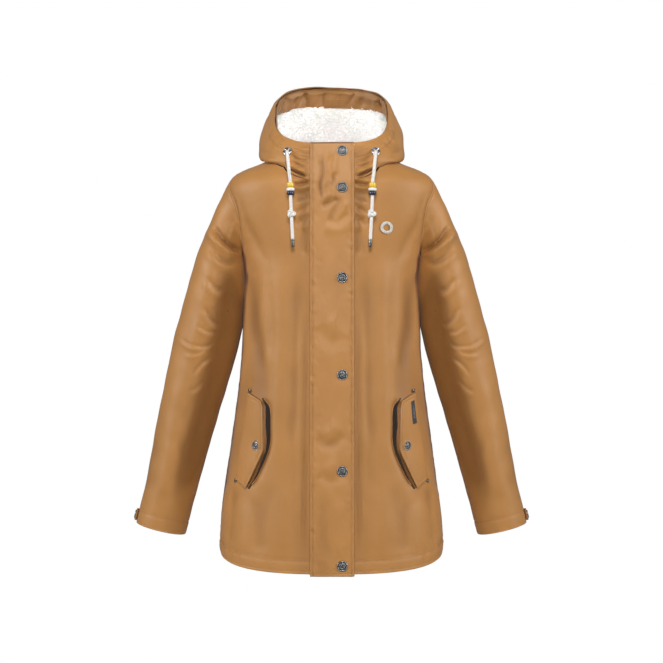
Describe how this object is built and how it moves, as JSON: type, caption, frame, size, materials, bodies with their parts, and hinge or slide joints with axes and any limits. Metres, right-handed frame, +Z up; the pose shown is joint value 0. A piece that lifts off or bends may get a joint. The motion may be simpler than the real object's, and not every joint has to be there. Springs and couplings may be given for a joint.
{
  "type": "hooded raincoat",
  "caption": "Hooded short raincoat in coated fabric with a sherpa-lined hood, snapped storm flap over a front zip, slanted flap pockets and cuff tabs.",
  "frame": {"origin": "the hang loop inside the back neck", "axes": "+Z up, -Y out of the coat's front, +X to the wearer's left"},
  "size_m": [0.7032, 0.3141, 0.87],
  "materials": {
    "shell": "matt polyurethane coating",
    "sherpa": "long curly pile",
    "lining": "plain woven",
    "tape": "woven tape",
    "label": "woven",
    "cord": "braided",
    "beads": "gloss; yellow, white and navy",
    "metal": "antique gunmetal plating"
  },
  "bodies": {
    "root": {"front_panel_left": "shell", "front_panel_right": "shell", "back_panel": "shell", "front_lining_left": "lining", "front_lining_right": "lining", "back_lining": "lining", "hem_facing": "shell", "neck_stand_left": "shell", "neck_stand_right": "shell", "neck_band": "shell", "neck_lining_left": "sherpa", "neck_lining_right": "sherpa", "hang_loop": "tape", "eyelets": "metal", "zip_tape_left": "tape", "zip_tape_right": "tape", "zip_teeth": "metal", "zip_bottom_box": "metal", "front_snap_studs": "metal", "pocket_snap_studs": "metal", "pocket_rivets": "metal", "pocket_bag_left": "lining", "pocket_bag_right": "lining", "channel_cord_left": "cord", "channel_cord_right": "cord"},
    "hood": {"hood_shell": "shell", "hood_facing": "shell", "hood_lining": "sherpa", "rim_cord": "cord"},
    "storm_flap": {"storm_flap": "shell", "flap_snap_caps": "metal", "flap_snap_sockets": "metal"},
    "zip_slider": {"zip_slider": "metal", "zip_pull": "metal"},
    "pocket_flap_left": {"pocket_flap_left": "shell", "pocket_cap_left": "metal", "pocket_socket_left": "metal", "pocket_label": "label"},
    "sleeve_left": {"sleeve_left": "shell", "sleeve_lining_left": "lining", "cuff_stud_left": "metal"},
    "cuff_tab_left": {"cuff_tab_left": "shell", "cuff_snap_left": "metal"},
    "drawcord_left": {"drawcord_left": "cord", "cord_knot_left": "cord", "cord_aglet_left": "metal"},
    "cord_beads_left": {"cord_beads_left": "beads"},
    "pocket_flap_right": {"pocket_flap_right": "shell", "pocket_cap_right": "metal", "pocket_socket_right": "metal"},
    "sleeve_right": {"sleeve_right": "shell", "sleeve_lining_right": "lining", "cuff_stud_right": "metal"},
    "cuff_tab_right": {"cuff_tab_right": "shell", "cuff_snap_right": "metal"},
    "drawcord_right": {"drawcord_right": "cord", "cord_knot_right": "cord", "cord_aglet_right": "metal"},
    "cord_beads_right": {"cord_beads_right": "beads"}
  },
  "joints": [
    {"name": "hood_raise", "type": "hinge", "parent": "root", "child": "hood", "pos_m": [0, -0.14, 0.025], "axis": [1, 0, 0], "range_deg": [0, 30]},
    {"name": "storm_flap_open", "type": "hinge", "parent": "root", "child": "storm_flap", "pos_m": [-0.036, -0.20806, -0.35], "axis": [0, -0.0575, -0.9983], "range_deg": [0, 110]},
    {"name": "zip_slide", "type": "slide", "parent": "root", "child": "zip_slider", "axis": [0, -0.0575, -0.9983], "range_m": [0, 0.6]},
    {"name": "pocket_flap_left_open", "type": "hinge", "parent": "root", "child": "pocket_flap_left", "pos_m": [0.15694, -0.15783, -0.49922], "axis": [-0.1446, -0.0041, 0.9895], "range_deg": [0, 100]},
    {"name": "sleeve_left_raise", "type": "hinge", "parent": "root", "child": "sleeve_left", "pos_m": [0.169, -0.085, -0.101], "axis": [0, -1, 0], "range_deg": [0, 50]},
    {"name": "cuff_tab_left_open", "type": "hinge", "parent": "sleeve_left", "child": "cuff_tab_left", "pos_m": [0.32196, -0.042, -0.64019], "axis": [-0.2334, 0, 0.9724], "range_deg": [0, 90]},
    {"name": "drawcord_left_swing", "type": "hinge", "parent": "root", "child": "drawcord_left", "pos_m": [0.081, -0.1628, 0.0111], "axis": [-1, 0, 0], "range_deg": [0, 60]},
    {"name": "cord_beads_left_slide", "type": "slide", "parent": "drawcord_left", "child": "cord_beads_left", "axis": [-0.0311, -0.083, -0.9961], "range_m": [0, 0.024]},
    {"name": "pocket_flap_right_open", "type": "hinge", "parent": "root", "child": "pocket_flap_right", "pos_m": [-0.15694, -0.15783, -0.49922], "axis": [-0.1446, 0.0041, -0.9895], "range_deg": [0, 100]},
    {"name": "sleeve_right_raise", "type": "hinge", "parent": "root", "child": "sleeve_right", "pos_m": [-0.169, -0.085, -0.101], "axis": [0, 1, 0], "range_deg": [0, 50]},
    {"name": "cuff_tab_right_open", "type": "hinge", "parent": "sleeve_right", "child": "cuff_tab_right", "pos_m": [-0.32196, -0.042, -0.64019], "axis": [-0.2334, 0, -0.9724], "range_deg": [0, 90]},
    {"name": "drawcord_right_swing", "type": "hinge", "parent": "root", "child": "drawcord_right", "pos_m": [-0.081, -0.1628, 0.0111], "axis": [-1, 0, 0], "range_deg": [0, 60]},
    {"name": "cord_beads_right_slide", "type": "slide", "parent": "drawcord_right", "child": "cord_beads_right", "axis": [0.0311, -0.083, -0.9961], "range_m": [0, 0.024]}
  ]
}
